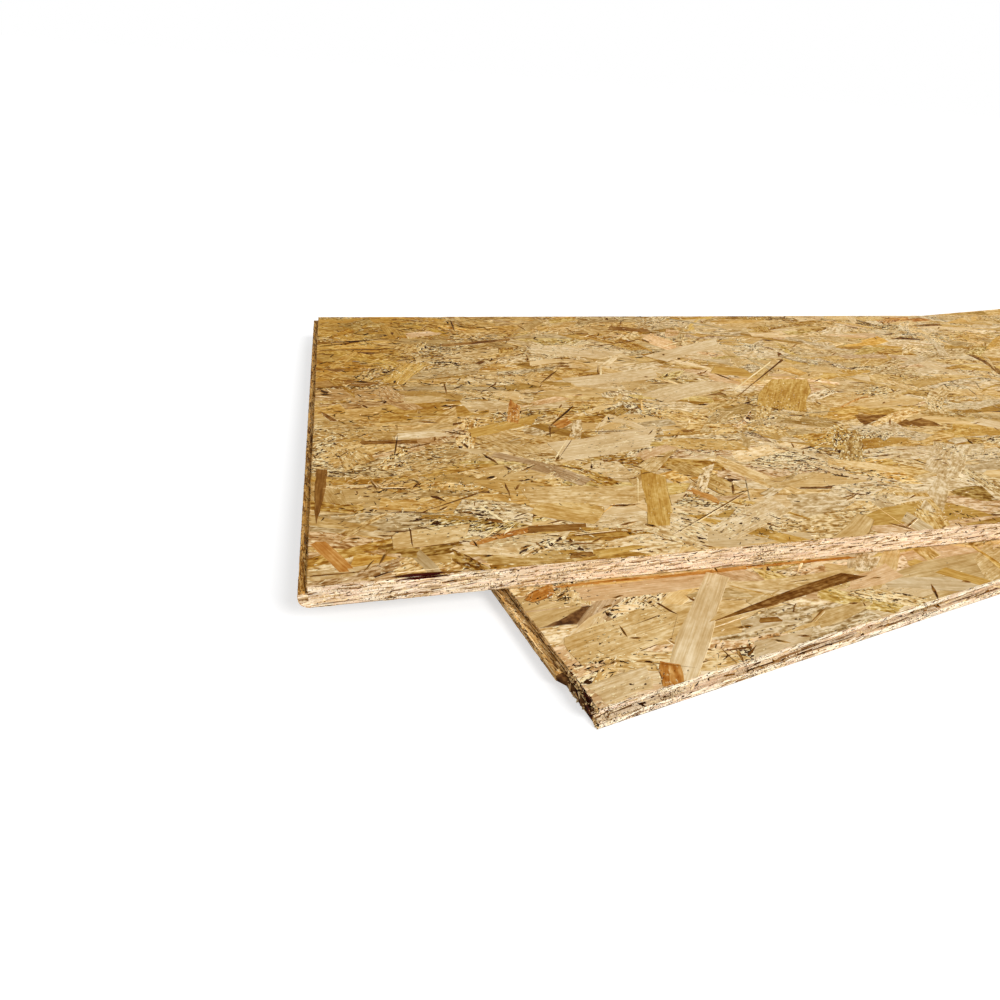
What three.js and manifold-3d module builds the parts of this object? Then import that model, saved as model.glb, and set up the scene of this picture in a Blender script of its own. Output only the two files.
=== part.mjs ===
// Two tongue-and-groove strand-board (OSB) panels, one lying crosswise on the other.
// Millimetres, +Z up. The origin is the centre of the lower panel's underside, and +X runs
// along the lower panel, from its tongued end to its grooved end.
import * as THREE from 'three';
import { mergeVertices } from 'three/addons/utils/BufferGeometryUtils.js';
import Module from 'manifold-3d';

const wasm = await Module();
wasm.setup();

// ---------------------------------------------------------------- panel size
const PANEL_LENGTH = 2500; // face length, from shoulder to shoulder
const PANEL_WIDTH = 675; // face width
const PANEL_THICKNESS = 18;

// ---------------------------------------------------------------- edge profile
const TONGUE_REACH = 7; // how far the tongue stands out of its shoulder
const TONGUE_ROOT = 7; // thickness where it leaves the shoulder
const TONGUE_NOSE = 5.6; // thickness at its outer end
const NOSE_CHAMFER = 0.7;
const SHOULDER_RELIEF = 1; // the lower shoulder is cut back, so that the upper faces close first
const GROOVE_CLEARANCE = 0.3; // play of a tongue in its groove, above and below
const GROOVE_SPARE_DEPTH = 1.2; // room left beyond the nose of a seated tongue
const MOUTH_CHAMFER = 0.8; // lead-in at the lips of the groove

// ---------------------------------------------------------------- broken tongue
const BREAK_LENGTH = 46; // stretch of the lower panel's end tongue that is knocked away
const BREAK_STUB_LONG = 3.4; // what still stands out of the shoulder, at its longest
const BREAK_STUB_SHORT = 1.2; // and at its shortest

// ---------------------------------------------------------------- unmilled corner
const WASTE_LENGTH = 24; // stretch where the step under the upper panel's tongue is still full
const WASTE_STEPS = 6; // flats on its rounded underside

// ---------------------------------------------------------------- the stack
const UPPER_TURN = THREE.MathUtils.degToRad(-12.4); // the upper panel is turned clockwise
const UPPER_CORNER_X = -137; // its front-left corner, from the lower panel's front-left corner
const UPPER_CORNER_Y = 173;
const CONTACT_GAP = 0.3; // kept between the two faces that rest on each other

// ---------------------------------------------------------------- tool geometry
const OVERRUN = 5; // every cutter runs this far past the board
const MID_HEIGHT = PANEL_THICKNESS / 2;
const GROOVE_DEPTH = TONGUE_REACH + GROOVE_SPARE_DEPTH;
const GROOVE_MOUTH = TONGUE_ROOT + 2 * GROOVE_CLEARANCE;
const GROOVE_FLOOR = TONGUE_NOSE + 2 * GROOVE_CLEARANCE;

const faceMaterial = new THREE.MeshStandardMaterial({
  name: 'strand_board', color: 0xc79b5c, roughness: 0.62, metalness: 0,
});

// A closed three.js geometry as a manifold solid
function solidOf(geometry) {
  const bare = geometry.clone();
  bare.deleteAttribute('normal');
  bare.deleteAttribute('uv');
  const merged = mergeVertices(bare, 1e-4);
  const mesh = new wasm.Mesh({
    numProp: 3,
    vertProperties: new Float32Array(merged.attributes.position.array),
    triVerts: new Uint32Array(merged.index.array),
  });
  return new wasm.Manifold(mesh);
}

// A manifold solid as a three.js geometry
function geometryOf(solid) {
  const mesh = solid.getMesh();
  const geometry = new THREE.BufferGeometry();
  geometry.setAttribute('position', new THREE.BufferAttribute(mesh.vertProperties, 3));
  geometry.setIndex(new THREE.BufferAttribute(mesh.triVerts, 1));
  geometry.computeVertexNormals();
  return geometry;
}

function shapeOf(points) {
  return new THREE.Shape(points.map(([x, y]) => new THREE.Vector2(x, y)));
}

// ---------------------------------------------------------------- milling profiles
// Both are drawn across an edge: x points out of the board from its face edge, y points up
// from the underside.

// Everything around the tongue that the cutter takes away
function tongueProfile() {
  const taper = (TONGUE_ROOT - TONGUE_NOSE) / 2 / TONGUE_REACH;
  const half = (x) => TONGUE_ROOT / 2 - taper * x;
  const out = TONGUE_REACH + OVERRUN;
  const flank = TONGUE_REACH - NOSE_CHAMFER;
  const above = PANEL_THICKNESS + OVERRUN;
  return shapeOf([
    [0, above],
    [0, MID_HEIGHT + half(0)],
    [flank, MID_HEIGHT + half(flank)],
    [TONGUE_REACH, MID_HEIGHT + half(flank) - NOSE_CHAMFER],
    [TONGUE_REACH, MID_HEIGHT - half(flank) + NOSE_CHAMFER],
    [flank, MID_HEIGHT - half(flank)],
    [-SHOULDER_RELIEF, MID_HEIGHT - half(-SHOULDER_RELIEF)],
    [-SHOULDER_RELIEF, -OVERRUN],
    [out, -OVERRUN],
    [out, above],
  ]);
}

// The slot that a neighbour's tongue enters
function grooveProfile() {
  const lip = GROOVE_MOUTH / 2 + MOUTH_CHAMFER;
  return shapeOf([
    [OVERRUN, MID_HEIGHT + lip],
    [0, MID_HEIGHT + lip],
    [-MOUTH_CHAMFER, MID_HEIGHT + GROOVE_MOUTH / 2],
    [-GROOVE_DEPTH, MID_HEIGHT + GROOVE_FLOOR / 2],
    [-GROOVE_DEPTH, MID_HEIGHT - GROOVE_FLOOR / 2],
    [-MOUTH_CHAMFER, MID_HEIGHT - GROOVE_MOUTH / 2],
    [0, MID_HEIGHT - lip],
    [OVERRUN, MID_HEIGHT - lip],
  ]);
}

// ---------------------------------------------------------------- edges of a panel
// The middle of each face edge and the way it looks, in the panel's own frame, which has the
// front-left corner of the underside at 0, 0, 0.
const EDGES = {
  left: { x: 0, y: PANEL_WIDTH / 2, outward: Math.PI, run: PANEL_WIDTH },
  right: { x: PANEL_LENGTH, y: PANEL_WIDTH / 2, outward: 0, run: PANEL_WIDTH },
  front: { x: PANEL_LENGTH / 2, y: 0, outward: -Math.PI / 2, run: PANEL_LENGTH },
  back: { x: PANEL_LENGTH / 2, y: PANEL_WIDTH, outward: Math.PI / 2, run: PANEL_LENGTH },
};

// A profile swept along one whole edge, past both of its ends
function sweepAlong(edge, profile) {
  const length = edge.run + 2 * (TONGUE_REACH + OVERRUN);
  const sweep = new THREE.ExtrudeGeometry(profile, { depth: length, bevelEnabled: false });
  sweep.translate(0, 0, -length / 2);
  sweep.rotateX(Math.PI / 2);
  sweep.rotateZ(edge.outward);
  sweep.translate(edge.x, edge.y, 0);
  return solidOf(sweep);
}

// The sawn board before milling: it is larger by a tongue on each edge that gets one
function sawnBoard(edgeKinds) {
  const extra = (name) => (edgeKinds[name] === 'tongue' ? TONGUE_REACH : 0);
  const length = PANEL_LENGTH + extra('left') + extra('right');
  const width = PANEL_WIDTH + extra('front') + extra('back');
  const board = new THREE.BoxGeometry(length, width, PANEL_THICKNESS);
  board.translate(length / 2 - extra('left'), width / 2 - extra('front'), MID_HEIGHT);
  return solidOf(board);
}

// The face outline carried down through the thickness
function facePrism() {
  const prism = new THREE.BoxGeometry(PANEL_LENGTH, PANEL_WIDTH, PANEL_THICKNESS + 2 * OVERRUN);
  prism.translate(PANEL_LENGTH / 2, PANEL_WIDTH / 2, MID_HEIGHT);
  return solidOf(prism);
}

// Where a tongue meets a grooved edge, it stops as far in as the groove is deep
function tongueStop(edge) {
  const stop = shapeOf([
    [-GROOVE_DEPTH, -OVERRUN],
    [OVERRUN, -OVERRUN],
    [OVERRUN, PANEL_THICKNESS + OVERRUN],
    [-GROOVE_DEPTH, PANEL_THICKNESS + OVERRUN],
  ]);
  return sweepAlong(edge, stop).subtract(facePrism());
}

// Each edge is milled over its whole run
function milledPanel(edgeKinds) {
  const profiles = { tongue: tongueProfile(), groove: grooveProfile() };
  let panel = sawnBoard(edgeKinds);
  for (const [name, kind] of Object.entries(edgeKinds)) {
    if (kind === 'square') continue;
    panel = panel.subtract(sweepAlong(EDGES[name], profiles[kind]));
    if (kind === 'groove') panel = panel.subtract(tongueStop(EDGES[name]));
  }
  return panel;
}

// The part of the left tongue that is knocked away next to the front corner, as a plan outline
// cut down through the tongue. Its inner side is a ragged fracture.
function tongueBreak() {
  const fracture = [
    [0, BREAK_STUB_SHORT],
    [0.32, BREAK_STUB_SHORT],
    [0.4, BREAK_STUB_LONG],
    [0.5, BREAK_STUB_SHORT],
    [0.62, BREAK_STUB_SHORT],
    [0.7, BREAK_STUB_LONG],
    [0.78, BREAK_STUB_SHORT],
    [1, TONGUE_REACH],
  ];
  const inner = fracture.map(([share, stub]) => [-stub, share * BREAK_LENGTH]);
  const out = -TONGUE_REACH - OVERRUN;
  const plan = shapeOf([[out, -OVERRUN], [-BREAK_STUB_SHORT, -OVERRUN], ...inner, [out, BREAK_LENGTH]]);
  return solidOf(new THREE.ExtrudeGeometry(plan, { depth: PANEL_THICKNESS, bevelEnabled: false }));
}

// Next to the sawn front edge the step under the left tongue was never cut clear: it is full
// down to a rounded underside
function cornerWaste() {
  const wide = SHOULDER_RELIEF + TONGUE_REACH;
  const high = MID_HEIGHT - TONGUE_NOSE / 2 + NOSE_CHAMFER;
  const rounding = [];
  for (let step = 0; step <= WASTE_STEPS; step += 1) {
    const angle = (step / WASTE_STEPS) * (Math.PI / 2);
    rounding.push([wide * Math.sin(angle) - SHOULDER_RELIEF, high * (1 - Math.cos(angle))]);
  }
  const across = shapeOf([
    [-OVERRUN, 0],
    ...rounding,
    [TONGUE_REACH, MID_HEIGHT],
    [-OVERRUN, MID_HEIGHT],
  ]);
  const waste = new THREE.ExtrudeGeometry(across, { depth: WASTE_LENGTH, bevelEnabled: false });
  waste.rotateX(Math.PI / 2);
  waste.rotateZ(EDGES.left.outward);
  return solidOf(waste);
}

function panelMesh(name, solid) {
  const mesh = new THREE.Mesh(geometryOf(solid), faceMaterial.clone());
  mesh.name = name;
  return mesh;
}

// ---------------------------------------------------------------- lower panel
// Milled on all four edges: tongues on the left end and the back, grooves opposite them.
const lowerSolid = milledPanel({
  left: 'tongue', right: 'groove', front: 'groove', back: 'tongue',
});
const lowerPanel = panelMesh('lower_panel', lowerSolid.subtract(tongueBreak()));

// ---------------------------------------------------------------- upper panel
// The same board with its front edge sawn square.
const upperSolid = milledPanel({
  left: 'tongue', right: 'groove', front: 'square', back: 'tongue',
});
const upperPanel = panelMesh('upper_panel', upperSolid.add(cornerWaste()));
upperPanel.position.set(UPPER_CORNER_X, UPPER_CORNER_Y, PANEL_THICKNESS + CONTACT_GAP);
upperPanel.rotation.z = UPPER_TURN;

// ---------------------------------------------------------------- the stack
const stack = new THREE.Group();
stack.name = 'osb_panel_stack';
stack.add(lowerPanel, upperPanel);
stack.position.set(-PANEL_LENGTH / 2, -PANEL_WIDTH / 2, 0);

export default stack;
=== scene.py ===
import functools
import math
from collections import namedtuple

import bmesh
import bpy
import numpy as np
from mathutils import Matrix, Vector


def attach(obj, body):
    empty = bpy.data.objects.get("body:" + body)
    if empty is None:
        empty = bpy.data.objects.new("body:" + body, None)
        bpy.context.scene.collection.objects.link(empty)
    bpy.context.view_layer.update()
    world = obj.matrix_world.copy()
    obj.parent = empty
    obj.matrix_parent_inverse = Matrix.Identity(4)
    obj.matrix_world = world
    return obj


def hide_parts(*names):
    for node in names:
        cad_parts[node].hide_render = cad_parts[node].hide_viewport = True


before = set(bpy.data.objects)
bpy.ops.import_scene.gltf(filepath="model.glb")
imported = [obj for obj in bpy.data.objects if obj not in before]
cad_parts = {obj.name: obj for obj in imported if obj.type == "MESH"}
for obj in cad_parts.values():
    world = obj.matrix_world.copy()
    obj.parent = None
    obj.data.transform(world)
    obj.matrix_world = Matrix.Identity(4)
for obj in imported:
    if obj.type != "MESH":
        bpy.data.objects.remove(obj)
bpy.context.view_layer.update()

# ------------------------------------------------------------------ board cores
# The body of each strand board: pine strands and brown glue pressed hot into one slab, then
# milled with a tongue and groove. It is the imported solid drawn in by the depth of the
# surface strands, which lie on it and bring it to full size.
MM = 0.001
BOARDS = ("lower", "upper")
SKIN = 0.5 * MM  # depth of the strands that show on every face and edge
WELD_DISTANCE = 0.01 * MM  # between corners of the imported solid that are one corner
GRIT_DEPTH = 0.4 * MM  # of the roughest places in wood and glue
DRY_GLOSS = 0.02  # dry wood and old glue hardly shine


def srgb(red, green, blue):
    """A colour written as 0 to 255 on a screen, as Blender's linear numbers."""
    def linear(value):
        share = value / 255
        return share / 12.92 if share <= 0.04045 else ((share + 0.055) / 1.055) ** 2.4
    return (linear(red), linear(green), linear(blue), 1.0)


def node(tree, kind, inputs=None, **settings):
    """A shader node with its settings, and its inputs set or linked."""
    made = tree.nodes.new(kind)
    for name, value in settings.items():
        setattr(made, name, value)
    for name, value in (inputs or {}).items():
        if isinstance(value, bpy.types.NodeSocket):
            tree.links.new(value, made.inputs[name])
        else:
            made.inputs[name].default_value = value
    return made


def new_material(name):
    """An empty material: its node tree and its Principled node, which is already wired."""
    material = bpy.data.materials.new(name)
    material.use_nodes = True
    tree = material.node_tree
    return material, tree, tree.nodes["Principled BSDF"]


def colour_ramp(tree, factor, stops):
    """A colour ramp with (position, colour) stops."""
    made = node(tree, "ShaderNodeValToRGB", {"Fac": factor})
    elements = made.color_ramp.elements
    while len(elements) < len(stops):
        elements.new(0.5)
    for element, (position, colour) in zip(elements, stops):
        element.position = position
        element.color = colour
    return made.outputs["Color"]


def new_object(name, data):
    """An object in the scene that shows a mesh, a lamp or a camera."""
    made = bpy.data.objects.new(name, data)
    bpy.context.collection.objects.link(made)
    return made


def glued_core_material():
    """Glued fines that show in the gaps between strands: brown, with darker glue spots."""
    material, tree, surface = new_material("glued_core")
    place = node(tree, "ShaderNodeTexCoord").outputs["Object"]
    mottling = node(tree, "ShaderNodeTexNoise", {
        "Vector": place, "Scale": 170.0, "Detail": 4.0,
    })
    grit = node(tree, "ShaderNodeTexNoise", {
        "Vector": place, "Scale": 1100.0, "Detail": 3.0,
    })
    colour = colour_ramp(tree, mottling.outputs["Fac"], (
        (0.30, srgb(52, 30, 16)),
        (0.48, srgb(98, 62, 32)),
        (0.66, srgb(140, 98, 54)),
    ))
    bump = node(tree, "ShaderNodeBump", {
        "Height": grit.outputs["Fac"], "Strength": 0.5, "Distance": GRIT_DEPTH,
    })
    tree.links.new(colour, surface.inputs["Base Color"])
    tree.links.new(bump.outputs["Normal"], surface.inputs["Normal"])
    surface.inputs["Roughness"].default_value = 0.75
    surface.inputs["Specular IOR Level"].default_value = DRY_GLOSS
    return material


def board_core(name, cad_node):
    """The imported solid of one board, drawn in evenly on every side."""
    core = bmesh.new()
    core.from_mesh(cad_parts[cad_node].data)
    bmesh.ops.remove_doubles(core, verts=core.verts, dist=WELD_DISTANCE)
    core.normal_update()
    drawn_in = []
    for vertex in core.verts:
        flats = np.array([tuple(face.normal) for face in vertex.link_faces])
        inwards = np.linalg.lstsq(flats, np.full(len(flats), -SKIN), rcond=1e-3)[0]
        drawn_in.append(vertex.co + Vector(inwards))
    for vertex, place in zip(core.verts, drawn_in):
        vertex.co = place
    mesh = bpy.data.meshes.new(name)
    core.to_mesh(mesh)
    core.free()
    return new_object(name, mesh)


glued_core = glued_core_material()
for board in BOARDS:
    core_piece = board_core(board + "_core", board + "_panel")
    core_piece.data.materials.append(glued_core)
    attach(core_piece, "root")
    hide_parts(board + "_panel")


# ------------------------------------------------------------------ face strands
# Thin pine strands, about as long as a hand, glued and pressed flat into both faces, mostly
# along the board. They overlap and dive under each other, with thin dark slits and patches
# of fines between them. The upper board is darker and yellower towards its left end and its
# back.
BOARD_LENGTH = 2500 * MM
BOARD_WIDTH = 675 * MM
BOARD_THICKNESS = 18 * MM
UPPER_TURN = math.radians(-12.4)
UPPER_CORNER = Vector((-137 * MM, 173 * MM, 0))  # from the lower board's corner
CONTACT_GAP = 0.3 * MM

# A board's own frame starts at the front-left corner of its underside, x along it, y back.
lower_place = Matrix.Translation((-BOARD_LENGTH / 2, -BOARD_WIDTH / 2, 0))
upper_place = (
    lower_place
    @ Matrix.Translation(UPPER_CORNER + Vector((0, 0, BOARD_THICKNESS + CONTACT_GAP)))
    @ Matrix.Rotation(UPPER_TURN, 4, "Z")
)
PLACES = {"lower": lower_place, "upper": upper_place}

FACE_COLOURS = {  # colour and how often it comes
    "pale": (srgb(221, 192, 144), 24),
    "tan": (srgb(214, 179, 120), 30),
    "honey": (srgb(208, 168, 99), 22),
    "golden": (srgb(198, 154, 76), 12),
    "rosy": (srgb(216, 178, 130), 5),
    "straw": (srgb(211, 178, 106), 5),
    "ochre": (srgb(172, 128, 56), 5),
    "orange": (srgb(190, 130, 60), 1.5),
    "brown": (srgb(140, 94, 38), 1.6),
}
CALM_WEIGHTS = {  # how often each comes where the strands that stand out are laid from the lists
    "upper": {
        "pale": 32, "tan": 32, "honey": 17, "golden": 8, "rosy": 9, "straw": 4, "ochre": 4,
    },
    "lower": {"pale": 50, "tan": 30, "honey": 7, "rosy": 14, "straw": 4, "ochre": 1},
}
CALM_COLOURS = {
    board: {name: (FACE_COLOURS[name][0], weight) for name, weight in weights.items()}
    for board, weights in CALM_WEIGHTS.items()
}
SLIT = srgb(50, 24, 4)
BARK = srgb(122, 78, 30)
UMBER = srgb(146, 102, 46)
TORN_LIP = srgb(252, 227, 180)
YELLOWED = np.array((0.64, 0.50, 0.20))  # what is left of red, green and blue where a strand is darkened the most
END_FADE = 270 * MM  # how far from the left end, and from the back, the yellow fades
BACK_FADE = 90 * MM
BACK_LENGTH = 700 * MM  # how far along the back it goes
LOWEST_TOP = 0.06  # of the skin, as are the next two
BED_CEILING = 0.82  # only what lies on top of the other strands is higher
CEILING = 0.98
CUT_DISTANCE = 0.001 * MM  # a corner nearer to a cut than this lies on it
END_SHARES = {  # how much of a strand's width is left at an end
    "ragged": (0.8, 1.0),
    "oblique": (0.8, 1.0),
    "tapered": (0.1, 0.45),
    "pointed": (0.03, 0.08),
}


def yellowing(board, u, v):
    """How far a board is made darker and yellower, 0 to 1: the upper one, towards its left
    end and its back.
    """
    if board == "lower":
        return 0.0
    from_end = math.exp(-max(u, 0) / END_FADE) * (0.40 + 0.80 * v / BOARD_WIDTH)
    from_back = 0.45 * math.exp(-(BOARD_WIDTH - v) / BACK_FADE) * math.exp(-u / BACK_LENGTH)
    return min(1.0, from_end + from_back)


def turned_by(turn):
    """The matrix that turns rows of (x, y) anticlockwise."""
    cos, sin = math.cos(turn), math.sin(turn)
    return np.array([[cos, sin], [-sin, cos]])


class StrandMat:
    """Strands laid on one flat facet: u runs along it, v across it and h out of it.

    The facet is length by width, or has a convex outline, given anticlockwise. Of the
    strands a share is smooth, the others are rough with pits and streaks.
    """

    def __init__(self, length, width, seed, browning_and_shade=None, outline=None, smooth=0.0):
        self.length = length
        self.width = width
        self.outline = outline or ((0, 0), (length, 0), (length, width), (0, width))
        self.browning_and_shade = browning_and_shade or (lambda u, v: 0.0)
        self.smooth = smooth
        self.random = np.random.default_rng(seed)
        self.strands = []

    def pick(self, colours, spread=0.06):
        """One of the named colours, by how often each comes, a little lighter or darker."""
        names = list(colours)
        weights = np.array([colours[name][1] for name in names], float)
        chosen = self.random.choice(len(names), p=weights / weights.sum())
        return np.array(colours[names[chosen]][0][:3]) * self.random.normal(1.0, spread)

    def add(self, outline, u, v, turn, height, tint, rim, rim_tone, bow=0.0, settled=False):
        """One strand from its outline about its own middle; height is 0 to 1 of the skin.

        The rim slopes. Below 0 its tone paints it dark, with glue and painted shadow, above
        0 pale, with torn fibres and painted highlight. A settled strand lies level and keeps
        its own colour, without its facet's browning or painted shade.
        """
        tint = np.array(tint[:3])
        if not settled:
            tint = tint * (1 - self.browning_and_shade(u, v) * (1 - YELLOWED))
        half_length = np.abs(outline[:, 0]).max()
        half_width = np.abs(outline[:, 1]).max()
        inner = outline.copy()
        inner[:, 1] -= np.sign(outline[:, 1]) * np.minimum(rim, np.abs(outline[:, 1]) * 0.6)
        inner[:, 0] -= outline[:, 0] / half_length * min(rim, half_length * 0.3)
        is_smooth = settled or self.random.random() < self.smooth
        tilt = self.random.normal(0, 0.02 if settled else 0.12, 2)
        tilt = tilt / (half_length, max(half_width, 4 * MM))
        ceiling = CEILING if settled or height > BED_CEILING else BED_CEILING
        top = np.clip(height + inner @ tilt, LOWEST_TOP, ceiling) * SKIN
        bend = bow * ((outline[:, 0] / half_length) ** 2 - 0.5) * half_length
        bend = np.column_stack((np.zeros(len(bend)), bend))
        self.strands.append({
            "height": height,
            "outer": (outline + bend) @ turned_by(turn) + (u, v),
            "inner": (inner + bend) @ turned_by(turn) + (u, v),
            "top": top,
            "grain": np.vstack((outline, inner)) + (self.random.uniform(-1, 1), 0),
            "seed": self.random.uniform(1, 400) * (-1 if is_smooth else 1),
            "tint": tuple(tint[:3]) + (rim_tone,),
        })

    def lay(self, u, v, length, width, turn, height, tint, bow=0.0, settled=False, ends=()):
        """A strand with its ends ragged, oblique, tapered or pointed, and uneven sides."""
        dice = self.random
        stations = 4
        ends = ends or dice.choice(("ragged", "oblique", "oblique", "tapered"), 2)
        share = np.linspace(0, 1, stations)
        near = np.linspace(1, 0, stations) ** 2
        half = width / 2 * dice.uniform(0.82, 1.1, (2, stations))
        lean = np.zeros(stations)
        tips = []
        for end, fade, side in zip(ends, (near, near[::-1]), (-1, 1)):
            narrow = dice.uniform(*END_SHARES[end])
            half *= 1 - (1 - narrow) * fade
            slope = dice.uniform(-1.4, 1.4) if end == "oblique" else dice.uniform(-0.3, 0.3)
            slope = np.clip(slope * width * narrow, -length / 3, length / 3)
            lean += fade * slope
            split = np.sort(dice.uniform(-0.8, 0.8, 2)) * side
            reach = dice.uniform(-0.25, 0.3, 2) * min(width, 12 * MM)
            tips.append(np.column_stack((
                side * (length / 2 + reach) + slope * split / 2 * 0.8,
                split * width / 2 * narrow,
            )))
        along = (share - 0.5) * length
        left = np.column_stack((along + lean / 2, half[0]))
        right = np.column_stack((along - lean / 2, -half[1]))
        outline = np.vstack((tips[0], right, tips[1], left[::-1]))
        rim_tone = dice.choice((-1, -0.7, -0.35, 0.0, 0.8), p=(0.26, 0.2, 0.14, 0.16, 0.24))
        rim = dice.uniform(0.7, 2.2) * MM
        self.add(outline, u, v, turn, height, tint, rim, rim_tone, bow, settled)

    def lay_gap(self, u, v, length, width, turn, height, tint, settled=False,
                browned=UMBER):
        """A dark gap between strands: a slit on browned wood, with a pale torn lip."""
        dice = self.random
        if dice.random() < 0.6:
            lip = dice.choice((-0.5, 0.5)) * (width + dice.uniform(0.8, 1.4) * MM)
            self.lay_sliver(
                u - lip * math.sin(turn), v + lip * math.cos(turn),
                length=length * dice.uniform(0.5, 1.0),
                width=dice.uniform(1.0, 1.8) * MM,
                turn=turn + dice.normal(0, 0.06),
                height=height - 0.01, tint=TORN_LIP, settled=settled,
            )
        around = dice.uniform(1.2, 1.6)
        for size, drop, colour in ((around, 0.02, browned), (1.0, 0.0, tint)):
            share = np.array((-1, -0.35, 0.4, 1, 0.35, -0.4))
            side = np.array((0.1, -0.9, -0.8, -0.1, 0.9, 0.8)) * dice.uniform(0.4, 1.2, 6)
            outline = np.column_stack((
                share * (length + (size - 1) * 6 * MM) / 2,
                side * (width + (size - 1) * 3 * MM) / 2,
            ))
            self.add(outline, u, v, turn, height - drop, colour, rim=0.2 * width,
                     rim_tone=0.0, settled=settled)

    def lay_sliver(self, u, v, length, width, turn, height, tint, rim_tone=0.0,
                   settled=False):
        """A thin splinter or a grain of fines: four corners, oblique at both ends."""
        dice = self.random
        ends = dice.uniform(0.2, 1.0, 4) * length / 2
        sides = dice.uniform(0.8 if settled else 0.35, 1.0, 4) * width / 2
        outline = np.array([
            (-ends[0], -sides[0]), (ends[1], -sides[1]),
            (ends[2], sides[2]), (-ends[3], sides[3]),
        ])
        outline[dice.integers(0, 2), 0] = -length / 2
        outline[dice.integers(2, 4), 0] = length / 2
        order = np.argsort(np.arctan2(outline[:, 1], outline[:, 0]))
        self.add(outline[order], u, v, turn, height, tint, rim=0.2 * width,
                 rim_tone=rim_tone, settled=settled)

    def mesh(self, name, place, atlas):
        """All strands as closed bodies in one mesh, the lowest first, trimmed to the facet.

        place puts the facet where its board lies. atlas is the facet's part of the map.
        """
        self.strands.sort(key=lambda strand: strand["height"])
        points, faces, tints, grains, rims = [], [], [], [], []
        for strand in self.strands:
            count = len(strand["outer"])
            low = list(range(len(points), len(points) + count))
            high = [k + count for k in low]
            points += [(x, y, 0.0) for x, y in strand["outer"]]
            points += [(x, y, z) for (x, y), z in zip(strand["inner"], strand["top"])]
            faces.append(low[::-1])
            for k in range(count):
                following = (k + 1) % count
                faces.append((low[k], low[following], high[following], high[k]))
            faces.append(high)
            tints += [strand["tint"]] * (2 * count)
            grains += [(x, y, strand["seed"]) for x, y in strand["grain"]]
            rims += [1.0] * count + [0.0] * count
        mesh = bpy.data.meshes.new(name)
        mesh.from_pydata(points, [], faces)
        for label, kind, values, key in (
            ("strand_tint", "FLOAT_COLOR", tints, "color"),
            ("strand_grain", "FLOAT_VECTOR", grains, "vector"),
            ("strand_rim", "FLOAT", rims, "value"),
        ):
            layer = mesh.attributes.new(label, kind, "POINT")
            layer.data.foreach_set(key, np.array(values, np.float32).ravel())
        self.trim(mesh)
        self.unwrap(mesh, atlas)
        mesh.transform(place)
        return mesh

    def trim(self, mesh):
        """Cuts off what runs past the facet's sides and closes the cuts."""
        cut = bmesh.new()
        cut.from_mesh(mesh)
        following = self.outline[1:] + self.outline[:1]
        for (u, v), (next_u, next_v) in zip(self.outline, following):
            outward = Vector((next_v - v, u - next_u, 0)).normalized()
            bmesh.ops.bisect_plane(
                cut, geom=cut.verts[:] + cut.edges[:] + cut.faces[:], dist=CUT_DISTANCE,
                plane_co=(u, v, 0), plane_no=outward, clear_outer=True,
            )
            open_edges = [edge for edge in cut.edges if edge.is_boundary]
            bmesh.ops.holes_fill(cut, edges=open_edges, sides=0)
        cut.normal_update()
        cut.to_mesh(mesh)
        cut.free()

    def unwrap(self, mesh, atlas):
        """A map seen straight down on the facet, in its own rectangle of the square."""
        left, bottom, right, top = atlas
        layer = mesh.uv_layers.new(name="OFBake")
        corners = np.empty(len(mesh.loops), np.int32)
        mesh.loops.foreach_get("vertex_index", corners)
        spots = np.empty(len(mesh.vertices) * 3, np.float32)
        mesh.vertices.foreach_get("co", spots)
        spots = spots.reshape(-1, 3)[corners]
        across = left + (right - left) * spots[:, 0] / self.length
        upward = bottom + (top - bottom) * spots[:, 1] / self.width
        layer.data.foreach_set("uv", np.column_stack((across, upward)).ravel())


WOOD_MARKS = {  # to a metre: along a strand, across it, and from one strand to the next
    "fibres": (18, 800, 7.3),
    "clouds": (24, 60, 5.7),
    "streaks": (70, 230, 5.1),
    "grit": (170, 300, 6.1),
    "ring waves": (9, 45, 4.1),
    "torn fibres": (180, 440, 9.7),
    "small pits": (220, 400, 3.9),
    "large pits": (90, 190, 6.3),
    "rim breaks": (70, 70, 2.3),
    "stains": (13, 17, 5.0),  # this one and the next along, across and through the board
    "crowds": (11, 13, 8.0),
}
GROWTH_RINGS = 210.0  # to a metre across a strand
RESIN_STAIN = srgb(180, 128, 50)
TORN_FIBRE = srgb(252, 232, 182)
# painted shadow and highlight: strand rims are dark partly with glue and partly as shadow,
# pale partly with torn fibres and partly as highlight
GLUE_AND_SHADOW_RIM = srgb(92, 54, 18)
TORN_AND_HIGHLIGHT_RIM = srgb(250, 228, 180)


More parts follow.
